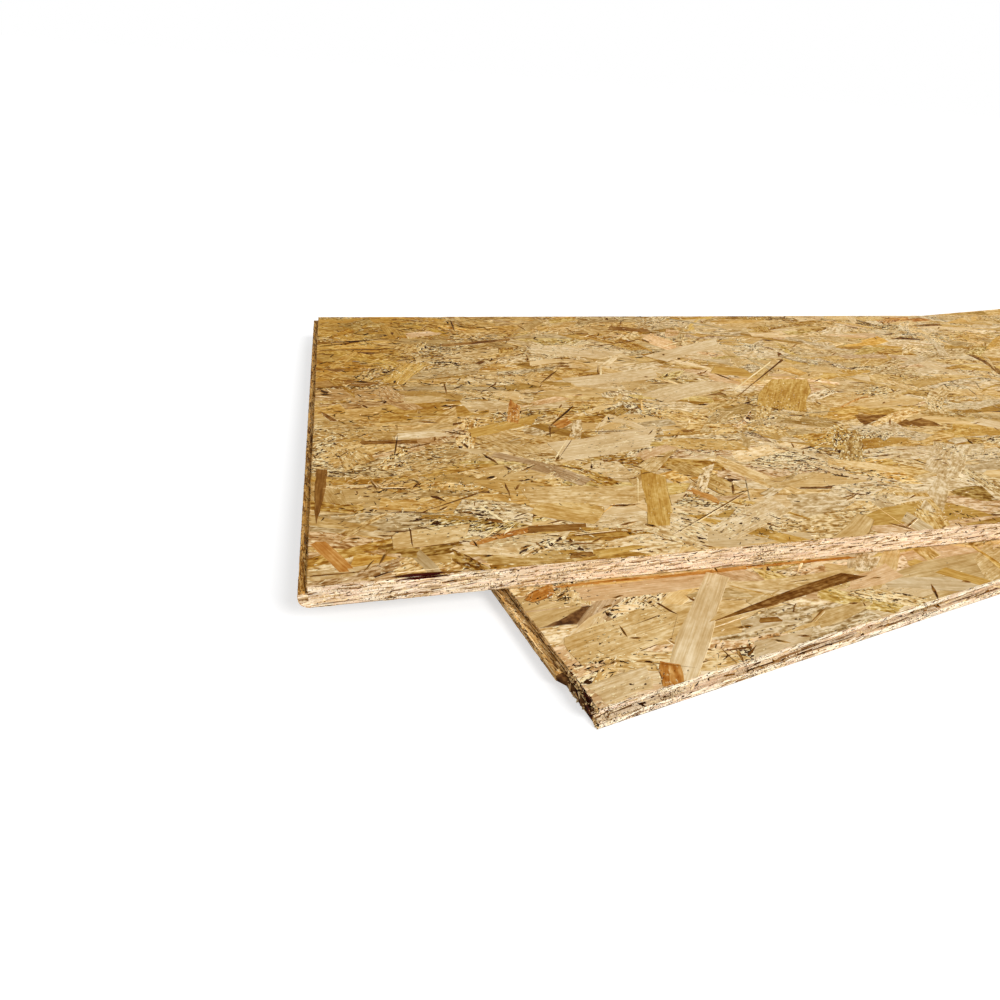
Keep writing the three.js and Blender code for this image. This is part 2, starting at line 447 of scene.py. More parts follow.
def strand_wood_group():
    """Wood in one strand: fibres, growth rings, flecks, pits, and a rim of glue with painted
    shadow or of torn fibres with painted highlight.
    """
    tree = bpy.data.node_groups.new("strand_wood", "ShaderNodeTree")
    for name, kind, default in (
        ("Tint", "NodeSocketColor", (0.6, 0.4, 0.2, 1)),
        ("Rim Tone", "NodeSocketFloat", 0.0),
        ("Grain Place", "NodeSocketVector", (0, 0, 0)),
        ("Board Place", "NodeSocketVector", (0, 0, 0)),
        ("Rim", "NodeSocketFloat", 0.0),
        ("Fibre Contrast", "NodeSocketFloat", 0.3),
        ("Streak Contrast", "NodeSocketFloat", 0.3),
        ("Ring Contrast", "NodeSocketFloat", 0.25),
        ("Flecks", "NodeSocketFloat", 0.5),
        ("Crowding", "NodeSocketFloat", 0.0),
        ("Pit Color", "NodeSocketColor", (0.1, 0.05, 0.02, 1)),
    ):
        socket = tree.interface.new_socket(name, in_out="INPUT", socket_type=kind)
        socket.default_value = default
    for name, kind in (
        ("Color", "NodeSocketColor"),
        ("Roughness", "NodeSocketFloat"),
        ("Height", "NodeSocketFloat"),
    ):
        tree.interface.new_socket(name, in_out="OUTPUT", socket_type=kind)
    source = tree.nodes.new("NodeGroupInput").outputs
    result = tree.nodes.new("NodeGroupOutput").inputs

    def noise(mark, detail=2.0, rough=0.55, place="Grain Place"):
        stretched = node(tree, "ShaderNodeVectorMath", {
            0: source[place], 1: WOOD_MARKS[mark],
        }, operation="MULTIPLY")
        made = node(tree, "ShaderNodeTexNoise", {
            "Vector": stretched.outputs["Vector"], "Scale": 1.0, "Detail": detail,
            "Roughness": rough,
        })
        return made.outputs["Fac"]

    def maths(operation, first, second, third=0.0, clamp=False):
        made = node(tree, "ShaderNodeMath", {0: first, 1: second, 2: third},
                    operation=operation, use_clamp=clamp)
        return made.outputs["Value"]

    def spread(value, low, high, to_low=0.0, to_high=1.0):
        made = node(tree, "ShaderNodeMapRange", {
            "Value": value, "From Min": low, "From Max": high, "To Min": to_low,
            "To Max": to_high,
        })
        return made.outputs["Result"]

    def mixed(factor, first, second):
        made = node(tree, "ShaderNodeMix", {"Factor": factor}, data_type="RGBA")
        for value, socket in ((first, made.inputs[6]), (second, made.inputs[7])):
            if isinstance(value, bpy.types.NodeSocket):
                tree.links.new(value, socket)
            else:
                socket.default_value = value
        return made.outputs[2]

    # fibres, streaks and growth rings along the strand: where it is lighter and darker
    fibres = noise("fibres", 3.0)
    clouds = noise("clouds", 2.0)
    streaks = spread(noise("streaks", 3.0, 0.65), 0.3, 0.7, -1.0, 1.0)
    grit = spread(noise("grit", 1.0), 0.3, 0.7, -1.0, 1.0)
    grain = node(tree, "ShaderNodeSeparateXYZ", {"Vector": source["Grain Place"]}).outputs
    waves = noise("ring waves", 1.0)
    phase = maths("MULTIPLY_ADD", waves, 6.0, maths("MULTIPLY", grain["Y"], GROWTH_RINGS))
    rings = spread(maths("SINE", maths("MULTIPLY", phase, 2 * math.pi), 0.0), 0.1, 1.0)
    light = maths("MULTIPLY", spread(fibres, 0.3, 0.7, -1.0, 1.0), source["Fibre Contrast"])
    light = maths("ADD", light, spread(clouds, 0.3, 0.7, -0.16, 0.14))

    # each strand's own number makes it rougher or calmer; below 0 it is a smooth one
    number = grain["Z"]
    chance = maths("SINE", maths("MULTIPLY", number, 1.7), 0.0)
    rough = spread(chance, -1.0, 1.0, 0.45, 1.25)
    rough = maths("MULTIPLY", rough, spread(number, -0.5, 0.5, 0.35, 1.0))
    uneven = maths("MULTIPLY", maths("MULTIPLY_ADD", grit, 0.8, streaks), rough)
    light = maths("ADD", light, maths("MULTIPLY", uneven, source["Streak Contrast"]))
    light = maths("SUBTRACT", light, maths("MULTIPLY", rings, source["Ring Contrast"]))

    # darker wood is also deeper in colour, as wood is
    depth = maths("MAXIMUM", maths("MULTIPLY_ADD", light, -1.15, 1.0), 0.72)
    wood = node(tree, "ShaderNodeGamma", {"Color": source["Tint"], "Gamma": depth})
    shade = maths("MAXIMUM", maths("MULTIPLY_ADD", light, 0.42, 1.0), 0.5)
    wood = node(tree, "ShaderNodeVectorMath", {0: wood.outputs["Color"], "Scale": shade},
                operation="SCALE").outputs["Vector"]

    # resin and damp turn patches of it a deeper yellow brown
    stain = spread(noise("stains", 3.0, place="Board Place"), 0.45, 0.75, 0.0, 0.4)
    wood = mixed(stain, wood, mixed(0.5, wood, RESIN_STAIN))

    # flecks are torn pale fibres, pits are small dark gaps; both come in crowds
    crowd = noise("crowds", 2.0, place="Board Place")
    tint = node(tree, "ShaderNodeSeparateColor", {"Color": source["Tint"]}).outputs
    crowding = spread(crowd, 0.40, 0.62, -0.07, 0.05)
    crowding = maths("ADD", crowding, spread(rough, 0.15, 1.2, -0.07, 0.04))
    crowding = maths("ADD", crowding, source["Crowding"])
    torn_fibres = maths("ADD", noise("torn fibres", 3.0, 0.6), crowding)
    on_pale_wood = spread(tint["Green"], 0.08, 0.3)
    flecks = maths("MULTIPLY", spread(torn_fibres, 0.60, 0.66), on_pale_wood)
    flecks = maths("MULTIPLY", flecks, source["Flecks"], clamp=True)
    wood = mixed(flecks, wood, TORN_FIBRE)
    small_pits = spread(maths("ADD", noise("small pits", 2.0, 0.6), crowding), 0.64, 0.69)
    large_pits = spread(maths("ADD", noise("large pits", 3.0, 0.65), crowding), 0.66, 0.70)
    pits = maths("MAXIMUM", small_pits, large_pits)
    wood = mixed(pits, wood, source["Pit Color"])

    # some rims are dark with glue and painted shadow, others a pale broken lip with painted
    # highlight
    broken = spread(noise("rim breaks", 2.0), 0.38, 0.50)
    rim = maths("MULTIPLY", spread(source["Rim"], 0.15, 0.6), broken)
    glue_and_shadow = maths("MULTIPLY", rim, maths("MULTIPLY", source["Rim Tone"], -1.0), clamp=True)
    torn = maths("MULTIPLY", rim, source["Rim Tone"], clamp=True)
    wood = mixed(glue_and_shadow, wood, GLUE_AND_SHADOW_RIM)
    wood = mixed(torn, wood, TORN_AND_HIGHLIGHT_RIM)
    tree.links.new(wood, result["Color"])
    tree.links.new(spread(fibres, 0.3, 0.7, 0.55, 0.72), result["Roughness"])
    height = maths("SUBTRACT", maths("ADD", fibres, maths("MULTIPLY", flecks, 0.6)), pits)
    tree.links.new(height, result["Height"])
    return tree


strand_wood = strand_wood_group()


def strand_material(name, wood_values, relief, short):
    """Wood strands whose colour and grain direction are kept in the mesh.

    wood_values are the strengths of the wood's marks. short is how much shorter they are
    than on a face, because an edge cuts across them.
    """
    material, tree, surface = new_material(name)
    tint = node(tree, "ShaderNodeAttribute", attribute_name="strand_tint").outputs
    grain = node(tree, "ShaderNodeAttribute", attribute_name="strand_grain").outputs
    rim = node(tree, "ShaderNodeAttribute", attribute_name="strand_rim").outputs
    grain_place = node(tree, "ShaderNodeVectorMath", {
        0: grain["Vector"], 1: (short, 1, 1),
    }, operation="MULTIPLY")
    wood = node(tree, "ShaderNodeGroup", {
        "Tint": tint["Color"],
        "Rim Tone": tint["Alpha"],
        "Grain Place": grain_place.outputs["Vector"],
        "Board Place": node(tree, "ShaderNodeTexCoord").outputs["Object"],
        "Rim": rim["Fac"],
        **wood_values,
    }, node_tree=strand_wood)
    bump = node(tree, "ShaderNodeBump", {
        "Height": wood.outputs["Height"], "Strength": relief, "Distance": GRIT_DEPTH,
    })
    tree.links.new(wood.outputs["Color"], surface.inputs["Base Color"])
    tree.links.new(wood.outputs["Roughness"], surface.inputs["Roughness"])
    tree.links.new(bump.outputs["Normal"], surface.inputs["Normal"])
    surface.inputs["Specular IOR Level"].default_value = DRY_GLOSS
    return material


def strew_face(mat, board, bed_step, strands, slivers, slits, flecks, patches, calm=(0, 0)):
    """Covers a face: a close bed, then strands, slivers, dark slits and patches of fines.

    Rows of the bed run along the board, with a strand at each step. Up to calm along and
    across the board no strand stands out by its colour.
    """
    dice = mat.random
    calm_colours = CALM_COLOURS[board]
    slit, bark = np.array(SLIT[:3]), np.array(BARK[:3])

    def anywhere():
        return dice.uniform(0, mat.length), dice.uniform(0, mat.width)

    def pick(u, v, spread):
        hushed = u < calm[0] and v < calm[1]
        return mat.pick(calm_colours if hushed else FACE_COLOURS, spread)

    bed_row = 0.30 * bed_step
    for row in range(int(mat.width / bed_row) + 2):
        offset = dice.uniform(0, bed_step)
        for step in range(int(mat.length / bed_step) + 3):
            u = step * bed_step - offset + dice.normal(0, 6) * MM
            v = row * bed_row + dice.normal(0, 3) * MM
            mat.lay(
                u, v,
                length=bed_step * dice.uniform(1.2, 1.6),
                width=bed_row * dice.uniform(1.3, 2.0),
                turn=math.radians(dice.normal(0, 8)),
                height=dice.uniform(0.1, 0.4),
                tint=pick(u, v, 0.09),
                bow=dice.normal(0, 0.03),
            )
    for _ in range(strands):
        u, v = anywhere()
        mat.lay(
            u, v,
            length=dice.triangular(30, 70, 135) * MM,
            width=dice.triangular(6, 18, 46) * MM,
            turn=math.radians(dice.normal(0, 38)),
            height=dice.uniform(0.35, 0.72),
            tint=pick(u, v, 0.13),
            bow=dice.normal(0, 0.1),
        )
    for _ in range(slivers):
        u, v = anywhere()
        mat.lay_sliver(
            u, v,
            length=dice.uniform(12, 60) * MM,
            width=dice.uniform(1.2, 4.5) * MM,
            turn=math.radians(dice.normal(0, 40)),
            height=dice.uniform(0.6, 0.76),
            tint=pick(u, v, 0.15) * dice.choice((0.5, 1.0, 1.35)),
        )
    for _ in range(slits):
        u, v = anywhere()
        mat.lay_gap(
            u, v,
            length=dice.triangular(3, 8, 30) * MM,
            width=dice.uniform(1.6, 3.8) * MM,
            turn=math.radians(dice.normal(0, 45)),
            height=dice.uniform(0.7, 0.82),
            tint=(slit if dice.random() < 0.45 else bark) * dice.uniform(0.7, 1.4),
        )
    for _ in range(flecks):
        bright = dice.random() < 0.5
        u, v = anywhere()
        mat.lay_sliver(
            u, v,
            length=dice.uniform(3, 12) * MM,
            width=dice.uniform(1.5, 3.4) * MM,
            turn=math.radians(dice.normal(0, 45)),
            height=dice.uniform(0.7, 0.82),
            tint=mat.pick(calm_colours, 0.1) * (1.35 if bright else 0.38),
            rim_tone=-0.7 if bright else 0.0,
        )
    for _ in range(patches):
        u, v = anywhere()
        fines_patch(mat, board, u, v, dice.uniform(12, 34) * MM, dice.integers(20, 60))


def fines_patch(mat, board, u, v, reach, grains, coarse=1.0):
    """A patch where short splinters, pale and dark, were pressed in between strands."""
    dice = mat.random
    for _ in range(grains):
        kind = dice.choice(("dark", "torn", "plain"), p=(0.42, 0.22, 0.36))
        plain = mat.pick(CALM_COLOURS[board], 0.15)
        tint = {"dark": SLIT, "torn": TORN_LIP, "plain": plain}[kind]
        mat.lay_sliver(
            u + dice.normal(0, 1.1) * reach,
            v + dice.normal(0, 0.8) * reach,
            length=coarse * dice.triangular(2, 4, 9) * MM,
            width=coarse * dice.uniform(1.0, 2.8) * MM,
            turn=dice.normal(0, 0.8),
            height=dice.uniform(0.8, 0.97),
            tint=np.array(tint[:3]) * dice.uniform(0.9, 1.5 if kind == "dark" else 1.05),
        )


def add_piece(name, mesh, material):
    """A mesh as a visible piece of one board."""
    mesh.materials.append(material)
    piece = new_object(name, mesh)
    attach(piece, "root")


# Strands that catch the eye: the colour of each, then in mm and degrees its middle along
# and across the board, its length, its width and its turn. They were picked and read by eye
# off the photo, and a script then moved most of the places to the final camera.
UPPER_STRANDS = (
    ("bark", 7, 138, 100, 15, 88),  # at the left end, from the front corner
    ("orange", 17, 38, 47, 13, -64),
    ("brown", 70, 239, 53, 11, -3),
    ("bark", 13, 310, 30, 9, -65),
    ("bark", 18, 453, 24, 15, -20),
    ("brown", 48, 404, 34, 19, -20),
    ("tan", 91, 55, 57, 32, 8),
    ("ochre", 106, 84, 45, 9, -12),
    ("brown", 143, 73, 14, 7, -29),
    ("orange", 145, 47, 55, 11, 17),  # near the front edge
    ("brown", 189, 53, 47, 13, -4),
    ("honey", 206, 82, 56, 44, -30),
    ("tan", 231, 106, 114, 38, -8),
    ("brown", 199, 10, 20, 10, 0),
    ("golden", 230, 12, 38, 12, 10),
    ("golden", 290, 93, 103, 27, 74),  # across the board
    ("orange", 334, 91, 33, 13, -56),
    ("pale", 279, 211, 114, 46, 14),
    ("pale", 361, 44, 87, 34, 28),
    ("rosy", 323, 187, 50, 20, 29),
    ("honey", 379, 198, 86, 30, -12),
    ("ochre", 113, 304, 40, 11, -5),
    ("orange", 202, 302, 62, 20, 78),
    ("orange", 248, 268, 26, 16, 39),
    ("golden", 185, 266, 84, 26, 22),
    ("pale", 100, 253, 47, 20, 5),
    ("brown", 376, 233, 16, 10, 0),
    ("ochre", 369, 225, 67, 6, 2),
    ("bark", 452, 336, 27, 9, 8),
    ("golden", 544, 333, 115, 62, 58),  # a wide yellow strand
    ("golden", 509, 415, 51, 36, -21),
    ("pale", 421, 353, 113, 44, 25),
    ("pale", 344, 402, 122, 40, 12),
    ("pale", 483, 506, 139, 36, 30),
    ("pale", 319, 506, 111, 40, -16),
    ("bark", 289, 450, 20, 9, -5),
    ("bark", 610, 478, 20, 9, 57),
    ("brown", 431, 606, 61, 22, -16),
    ("brown", 200, 551, 96, 14, 14),  # near the back edge
    ("brown", 172, 544, 35, 8, 10),
    ("ochre", 561, 572, 159, 6, -12),
    ("golden", 98, 437, 73, 34, 65),
    ("rosy", 132, 592, 42, 26, 21),
)
LOWER_STRANDS = (
    ("tan", 67, 61, 113, 44, 4),
    ("rosy", 100, 105, 113, 24, -11),  # under the upper board's front edge
    ("orange", 20, 128, 25, 15, 15),
    ("pale", 112, 51, 138, 25, 44),  # across the board
    ("bark", 195, 51, 150, 17, 3),
    ("brown", 162, 32, 16, 9, -20),
    ("orange", 60, 9, 27, 20, 60),
    ("pale", 25, 13, 43, 24, 3),
    ("orange", 75, 123, 90, 6, -12),  # painted contact shadow: thin orange strands along the upper board's front edge
    ("orange", 150, 106, 84, 7, -11),
    ("orange", 240, 87, 100, 6, -13),
)
UPPER_SLIVERS = (
    ("slit", 75, 230, 51, 2.5, 83),
    ("bark", 97, 228, 26, 4, 22),
    ("slit", 140, 222, 13, 5, -81),
    ("slit", 158, 190, 27, 4, -66),
    ("slit", 171, 168, 12, 6, -61),
    ("slit", 190, 166, 24, 4, 34),
    ("slit", 152, 151, 11, 6, 29),
    ("slit", 226, 163, 24, 3, -33),
    ("slit", 249, 161, 9, 4, 77),
    ("slit", 293, 155, 14, 4, -46),
    ("slit", 250, 286, 75, 4, 55),
    ("bark", 229, 248, 30, 4, 75),
    ("bark", 289, 241, 68, 4, -5),
    ("slit", 334, 234, 19, 3, 53),
    ("slit", 133, 327, 14, 8, 20),
    ("bark", 162, 287, 18, 6, -36),
    ("bark", 139, 278, 14, 5, 20),
    ("slit", 134, 254, 28, 2.5, -30),
    ("bark", 26, 261, 11, 3, -70),
    ("bark", 185, 237, 81, 2, 22),
    ("slit", 51, 150, 19, 3, -75),
    ("slit", 69, 140, 31, 3, -10),
    ("slit", 86, 144, 11, 3, 59),
    ("bark", 102, 117, 18, 7, -60),
    ("bark", 120, 114, 58, 4, 27),
    ("slit", 122, 90, 8, 4, -10),
    ("slit", 34, 61, 10, 6, 0),
    ("slit", 67, 66, 12, 2, -10),
    ("bark", 88, 68, 16, 2, -39),
    ("bark", 75, 56, 31, 2, 89),
    ("bark", 97, 42, 45, 2, 3),
    ("slit", 122, 39, 11, 4, -76),
    ("cream", 140, 57, 38, 3, 44),
    ("bark", 143, 55, 36, 2, 46),
    ("cream", 142, 85, 32, 4, -63),
    ("cream", 152, 57, 21, 3, 48),
    ("slit", 53, 30, 21, 3.5, 69),
    ("bark", 24, 13, 45, 2.5, -1),
    ("maroon", 82, 2.5, 56, 10, 0),
    ("slit", 196, 32, 5, 3, 83),
    ("slit", 219, 39, 49, 2.5, 2),
    ("cream", 218, 43, 40, 2, 1),
    ("slit", 185, 41, 12, 4, -14),
    ("slit", 159, 28, 10, 4, 29),
    ("slit", 200, 8, 7, 4, -19),
    ("slit", 268, 45, 10, 6, -30),
    ("slit", 357, 49, 8, 3, -20),
    ("slit", 381, 42, 14, 3, -51),
    ("bark", 331, 61, 123, 2.5, 33),
    ("cream", 333, 60, 114, 2, 33),
    ("cream", 277, 107, 57, 3, 71),
    ("cream", 231, 205, 59, 3, 60),
    ("bark", 234, 203, 55, 2, 60),
    ("slit", 323, 174, 14, 4, -10),
    ("bark", 300, 141, 21, 5, 5),
    ("bark", 41, 557, 83, 6, 15),
    ("slit", 178, 631, 58, 3, 90),
    ("slit", 94, 594, 14, 4, 89),
    ("bark", 213, 554, 58, 8, 14),
    ("bark", 46, 527, 88, 3, 0),
    ("bark", 14, 511, 26, 5, -26),
    ("slit", 63, 451, 14, 5, 60),
    ("bark", 17, 396, 31, 3, 0),
    ("slit", 9, 381, 18, 6, -65),
    ("slit", 85, 406, 13, 4, 74),
    ("slit", 139, 381, 43, 2.5, 88),
    ("bark", 192, 386, 30, 4, 48),
    ("bark", 190, 408, 32, 4, -29),
    ("slit", 266, 412, 57, 3, 56),
    ("bark", 334, 433, 38, 2, 72),
    ("cream", 337, 431, 36, 2, 72),
    ("slit", 253, 478, 12, 4, 78),
    ("bark", 192, 469, 18, 6, 45),
    ("slit", 437, 549, 22, 5, -75),
    ("bark", 393, 542, 80, 3, 20),
    ("slit", 413, 661, 17, 5, 82),
    ("slit", 489, 395, 35, 5, -66),
    ("bark", 541, 394, 202, 3, 45),
    ("cream", 533, 400, 150, 2, 45),
    ("slit", 457, 469, 10, 4, 58),
    ("slit", 441, 487, 9, 4, 67),
    ("slit", 387, 402, 6, 4, 0),
    ("slit", 416, 407, 16, 3, 62),
    ("cream", 470, 533, 43, 2.2, 30),
    ("slit", 48, 410, 27, 7.2, -8),
    ("slit", 36, 560, 72, 4.5, 12),
    ("slit", 140, 326, 18, 6.5, 12),
    ("slit", 12, 372, 20, 6.7, -20),
)
LOWER_SLIVERS = (
    ("bark", 90, 82, 24, 3, -78),
    ("bark", 98, 74, 22, 4, -74),
    ("bark", 76, 68, 26, 2, 5),
    ("slit", 54, 63, 15, 3, 85),
    ("cream", 49, 77, 38, 2, 2),
    ("slit", 72, 102, 9, 3, 0),
    ("slit", 58, 94, 8, 3, 10),
    ("slit", 33, 120, 10, 4, 29),
    ("slit", 165, 105, 7, 3, 78),
    ("slit", 141, 32, 7, 4, -9),
    ("slit", 58, 53, 7, 4, -18),
    ("bark", 90, 52, 34, 1.5, 47),
    ("bark", 108, 9, 18, 3, 84),
    ("bark", 119, 14, 21, 4, -18),
    ("bark", 127, 8, 15, 3, 23),
    ("bark", 63, 19, 43, 3, -36),
    ("bark", 190, 37, 14, 4, 28),
    ("slit", 13, 37, 6, 3, 0),
    ("slit", 30, 36, 6, 3, 19),
)
FINES = {  # middle and reach in mm, number of grains, and how coarse they are
    "lower": (
        (33, 121, 9, 50, 1), (24, 35, 9, 36, 1), (53, 52, 12, 20, 1), (114, 11, 12, 30, 1),
    ),
    "upper": (
        (69, 155, 22, 240, 1), (45, 183, 18, 90, 1), (112, 155, 22, 130, 1),
        (39, 99, 18, 70, 1), (317, 281, 34, 130, 1.4), (262, 150, 20, 60, 1),
        (356, 118, 22, 80, 1), (63, 463, 30, 90, 2), (378, 26, 26, 70, 1),
        (189, 281, 26, 70, 1.4), (55, 400, 40, 80, 2), (150, 470, 44, 90, 2.2),
        (50, 560, 40, 70, 2.2), (215, 590, 50, 80, 2.4), (205, 390, 40, 80, 2),
        (45, 290, 30, 70, 1.6), (190, 130, 30, 80, 1), (330, 520, 60, 80, 2.2),
        (130, 620, 50, 70, 2.4), (430, 600, 60, 70, 2.4),
    ),
}
SLIVER_COLOURS = {
    "slit": SLIT,
    "bark": srgb(100, 60, 20),
    "cream": srgb(246, 222, 170),
    "maroon": srgb(58, 10, 4),
}
STRAND_HEIGHT = 0.84  # of the skin; each strand lies a hair above the one before
SLIVER_HEIGHT = 0.94
FAR_WIDENING = ((350, 1.8), (250, 1.4))  # from how many mm back, and how much


def widened(v, width):
    """A sliver's width in mm to the nearest half: wider far back, where it would be lost."""
    factor = next((factor for start, factor in FAR_WIDENING if v >= start), 1)
    return round(width * factor * 2) / 2


def lay_by_hand(mat, board, strands, slivers, fines):
    """Lays the strands that catch the eye on top of the others."""
    for number, (colour, u, v, length, width, turn) in enumerate(strands):
        is_bark = colour == "bark"
        mat.lay(
            u * MM, v * MM, length * MM, width * MM, math.radians(turn),
            height=STRAND_HEIGHT + 0.001 * number,
            tint=BARK if is_bark else FACE_COLOURS[colour][0],
            settled=True,
            ends=("pointed" if is_bark else "ragged", "oblique"),
        )
    for colour, u, v, length, width, turn in slivers:
        lay = mat.lay_gap if colour in ("slit", "maroon") else mat.lay_sliver
        lay(
            u * MM, v * MM, length * MM, widened(v, width) * MM, math.radians(turn),
            height=SLIVER_HEIGHT, tint=SLIVER_COLOURS[colour], settled=True,
        )
    for u, v, reach, grains, coarse in fines:
        fines_patch(mat, board, u * MM, v * MM, reach * MM, grains, coarse)


face_strands = strand_material(
    "face_strands",
    {
        "Fibre Contrast": 0.18, "Streak Contrast": 0.54, "Ring Contrast": 0.08,
        "Flecks": 1.0, "Crowding": 0.005, "Pit Color": srgb(58, 28, 4),
    },
    relief=0.6, short=1.0,
)
WHOLE_MAP = (0, 0, 1, 1)
TOP_SKIN = Matrix.Translation((0, 0, BOARD_THICKNESS - SKIN))
FACE_DOWN = Matrix.Rotation(math.pi, 4, "X")
UNDERSIDE_SKIN = Matrix.Translation((0, BOARD_WIDTH, SKIN)) @ FACE_DOWN
SHOULDER_RELIEF = 1 * MM  # how far the wood under a tongue is set back
UNDERSIDE_OUTLINE = (
    (SHOULDER_RELIEF, SHOULDER_RELIEF), (BOARD_LENGTH, SHOULDER_RELIEF),
    (BOARD_LENGTH, BOARD_WIDTH), (SHOULDER_RELIEF, BOARD_WIDTH),
)
CALM = {"lower": (330 * MM, 260 * MM), "upper": (640 * MM, BOARD_WIDTH)}
SMOOTH = {"lower": 0.55, "upper": 0.25}  # share of strands without streaks and pits
BY_HAND = {
    "lower": (LOWER_STRANDS, LOWER_SLIVERS, FINES["lower"]),
    "upper": (UPPER_STRANDS, UPPER_SLIVERS, FINES["upper"]),
}
TOP_SEEDS = {"lower": 10, "upper": 11}
UNDERSIDE_SEEDS = {"lower": 20, "upper": 21}
for board in BOARDS:
    top = StrandMat(
        BOARD_LENGTH, BOARD_WIDTH, TOP_SEEDS[board],
        browning_and_shade=functools.partial(yellowing, board), smooth=SMOOTH[board],
    )
    strew_face(
        top, board, bed_step=88 * MM, strands=1250, slivers=400, slits=1100, flecks=300,
        patches=40, calm=CALM[board],
    )
    lay_by_hand(top, board, *BY_HAND[board])
    name = board + "_top_strands"
    mesh = top.mesh(name, PLACES[board] @ TOP_SKIN, WHOLE_MAP)
    add_piece(name, mesh, face_strands)

    underside = StrandMat(
        BOARD_LENGTH, BOARD_WIDTH, UNDERSIDE_SEEDS[board],
        outline=UNDERSIDE_OUTLINE, smooth=SMOOTH[board],
    )
    strew_face(
        underside, board, bed_step=96 * MM, strands=520, slivers=300, slits=200, flecks=400,
        patches=10,
    )
    name = board + "_underside_strands"
    mesh = underside.mesh(name, PLACES[board] @ UNDERSIDE_SKIN, WHOLE_MAP)
    add_piece(name, mesh, face_strands)


# ------------------------------------------------------------------ edge strands
# The edges, milled with a tongue on the left and the back and a groove on the front and the
# right; the upper board's front is sawn square. The cutters open the strands, which show as
# short pale slivers with dark holes between them, browner at the ends.
SIDE_COLOURS = {
    "cream": (srgb(246, 227, 198), 26),
    "pale": (srgb(238, 214, 182), 30),
    "pink": (srgb(232, 204, 176), 20),
    "tan": (srgb(216, 186, 148), 12),
    "straw": (srgb(196, 164, 120), 8),
    "brown": (srgb(152, 116, 78), 4),
}
LIP_COLOURS = {
    "cream": (srgb(254, 242, 216), 36),
    "pale": (srgb(246, 226, 196), 34),
    "pink": (srgb(238, 208, 180), 16),
    "straw": (srgb(204, 172, 126), 8),
    "brown": (srgb(150, 112, 72), 4),
}
END_COLOURS = {
    "straw": (srgb(250, 210, 146), 18),
    "tan": (srgb(236, 190, 120), 28),
    "honey": (srgb(220, 170, 98), 24),
    "ochre": (srgb(186, 136, 72), 14),
    "brown": (srgb(134, 92, 44), 9),
}
EDGE_COLOURS = {  # of the long edges; both ends have END_COLOURS
    ("lower", "front"): LIP_COLOURS,
    ("lower", "back"): LIP_COLOURS,
    ("upper", "front"): SIDE_COLOURS,
    ("upper", "back"): SIDE_COLOURS,
}
TONGUE_REACH = 7 * MM
TONGUE_ROOT = 7 * MM
TONGUE_NOSE = 5.6 * MM
NOSE_CHAMFER = 0.7 * MM
GROOVE_DEPTH = 8.2 * MM
GROOVE_MOUTH = 7.6 * MM
GROOVE_FLOOR = 6.2 * MM
MOUTH_CHAMFER = 0.8 * MM
MID_HEIGHT = BOARD_THICKNESS / 2
TONGUE_TAPER = (TONGUE_ROOT - TONGUE_NOSE) / 2 / TONGUE_REACH
NOSE_FLANK = TONGUE_REACH - NOSE_CHAMFER
NOSE_HALF = TONGUE_ROOT / 2 - TONGUE_TAPER * NOSE_FLANK
BREAK_LENGTH = 46 * MM  # of the lower board's end tongue, knocked away at the front
BREAK_STUB = 1.2 * MM
WASTE_LENGTH = 24 * MM  # where the step under the upper board's tongue is still full
GROOVE_LIP = GROOVE_MOUTH / 2 + MOUTH_CHAMFER


def waste_rounding():
    """The rounded underside of the wood left under a tongue, from the shoulder outwards."""
    wide = SHOULDER_RELIEF + TONGUE_REACH
    high = MID_HEIGHT - TONGUE_NOSE / 2 + NOSE_CHAMFER
    angles = [math.radians(15 * step) for step in range(7)]
    return tuple(
        (wide * math.sin(angle) - SHOULDER_RELIEF, high * (1 - math.cos(angle)))
        for angle in angles
    )


# Points across an edge, from the underside up: out of the board, then height.
TONGUE_ABOVE = (
    (TONGUE_REACH, MID_HEIGHT + NOSE_HALF - NOSE_CHAMFER),
    (NOSE_FLANK, MID_HEIGHT + NOSE_HALF),
    (0, MID_HEIGHT + TONGUE_ROOT / 2),
    (0, BOARD_THICKNESS),
)
ACROSS = {
    "tongue": (
        (-SHOULDER_RELIEF, 0),
        (-SHOULDER_RELIEF, MID_HEIGHT - TONGUE_ROOT / 2 - TONGUE_TAPER * SHOULDER_RELIEF),
        (NOSE_FLANK, MID_HEIGHT - NOSE_HALF),
        (TONGUE_REACH, MID_HEIGHT - NOSE_HALF + NOSE_CHAMFER),
    ) + TONGUE_ABOVE,
    "full": waste_rounding() + TONGUE_ABOVE,
    "stub": (
        (-SHOULDER_RELIEF, 0),
        (-SHOULDER_RELIEF, MID_HEIGHT - TONGUE_ROOT / 2),
        (BREAK_STUB, MID_HEIGHT - TONGUE_ROOT / 2),
        (BREAK_STUB, MID_HEIGHT + TONGUE_ROOT / 2),
        (0, MID_HEIGHT + TONGUE_ROOT / 2),
        (0, BOARD_THICKNESS),
    ),
    "groove": (
        (0, 0),
        (0, MID_HEIGHT - GROOVE_LIP),
        (-MOUTH_CHAMFER, MID_HEIGHT - GROOVE_MOUTH / 2),
        (-GROOVE_DEPTH, MID_HEIGHT - GROOVE_FLOOR / 2),
        (-GROOVE_DEPTH, MID_HEIGHT + GROOVE_FLOOR / 2),
        (-MOUTH_CHAMFER, MID_HEIGHT + GROOVE_MOUTH / 2),
        (0, MID_HEIGHT + GROOVE_LIP),
        (0, BOARD_THICKNESS),
    ),
    "lower lip": ((-SHOULDER_RELIEF, 0), (-SHOULDER_RELIEF, MID_HEIGHT - GROOVE_LIP)),
    "flush lower lip": ((0, 0), (0, MID_HEIGHT - GROOVE_LIP)),
    "upper lip": ((0, MID_HEIGHT + GROOVE_LIP), (0, BOARD_THICKNESS)),
    "square": ((0, 0), (0, BOARD_THICKNESS)),
}
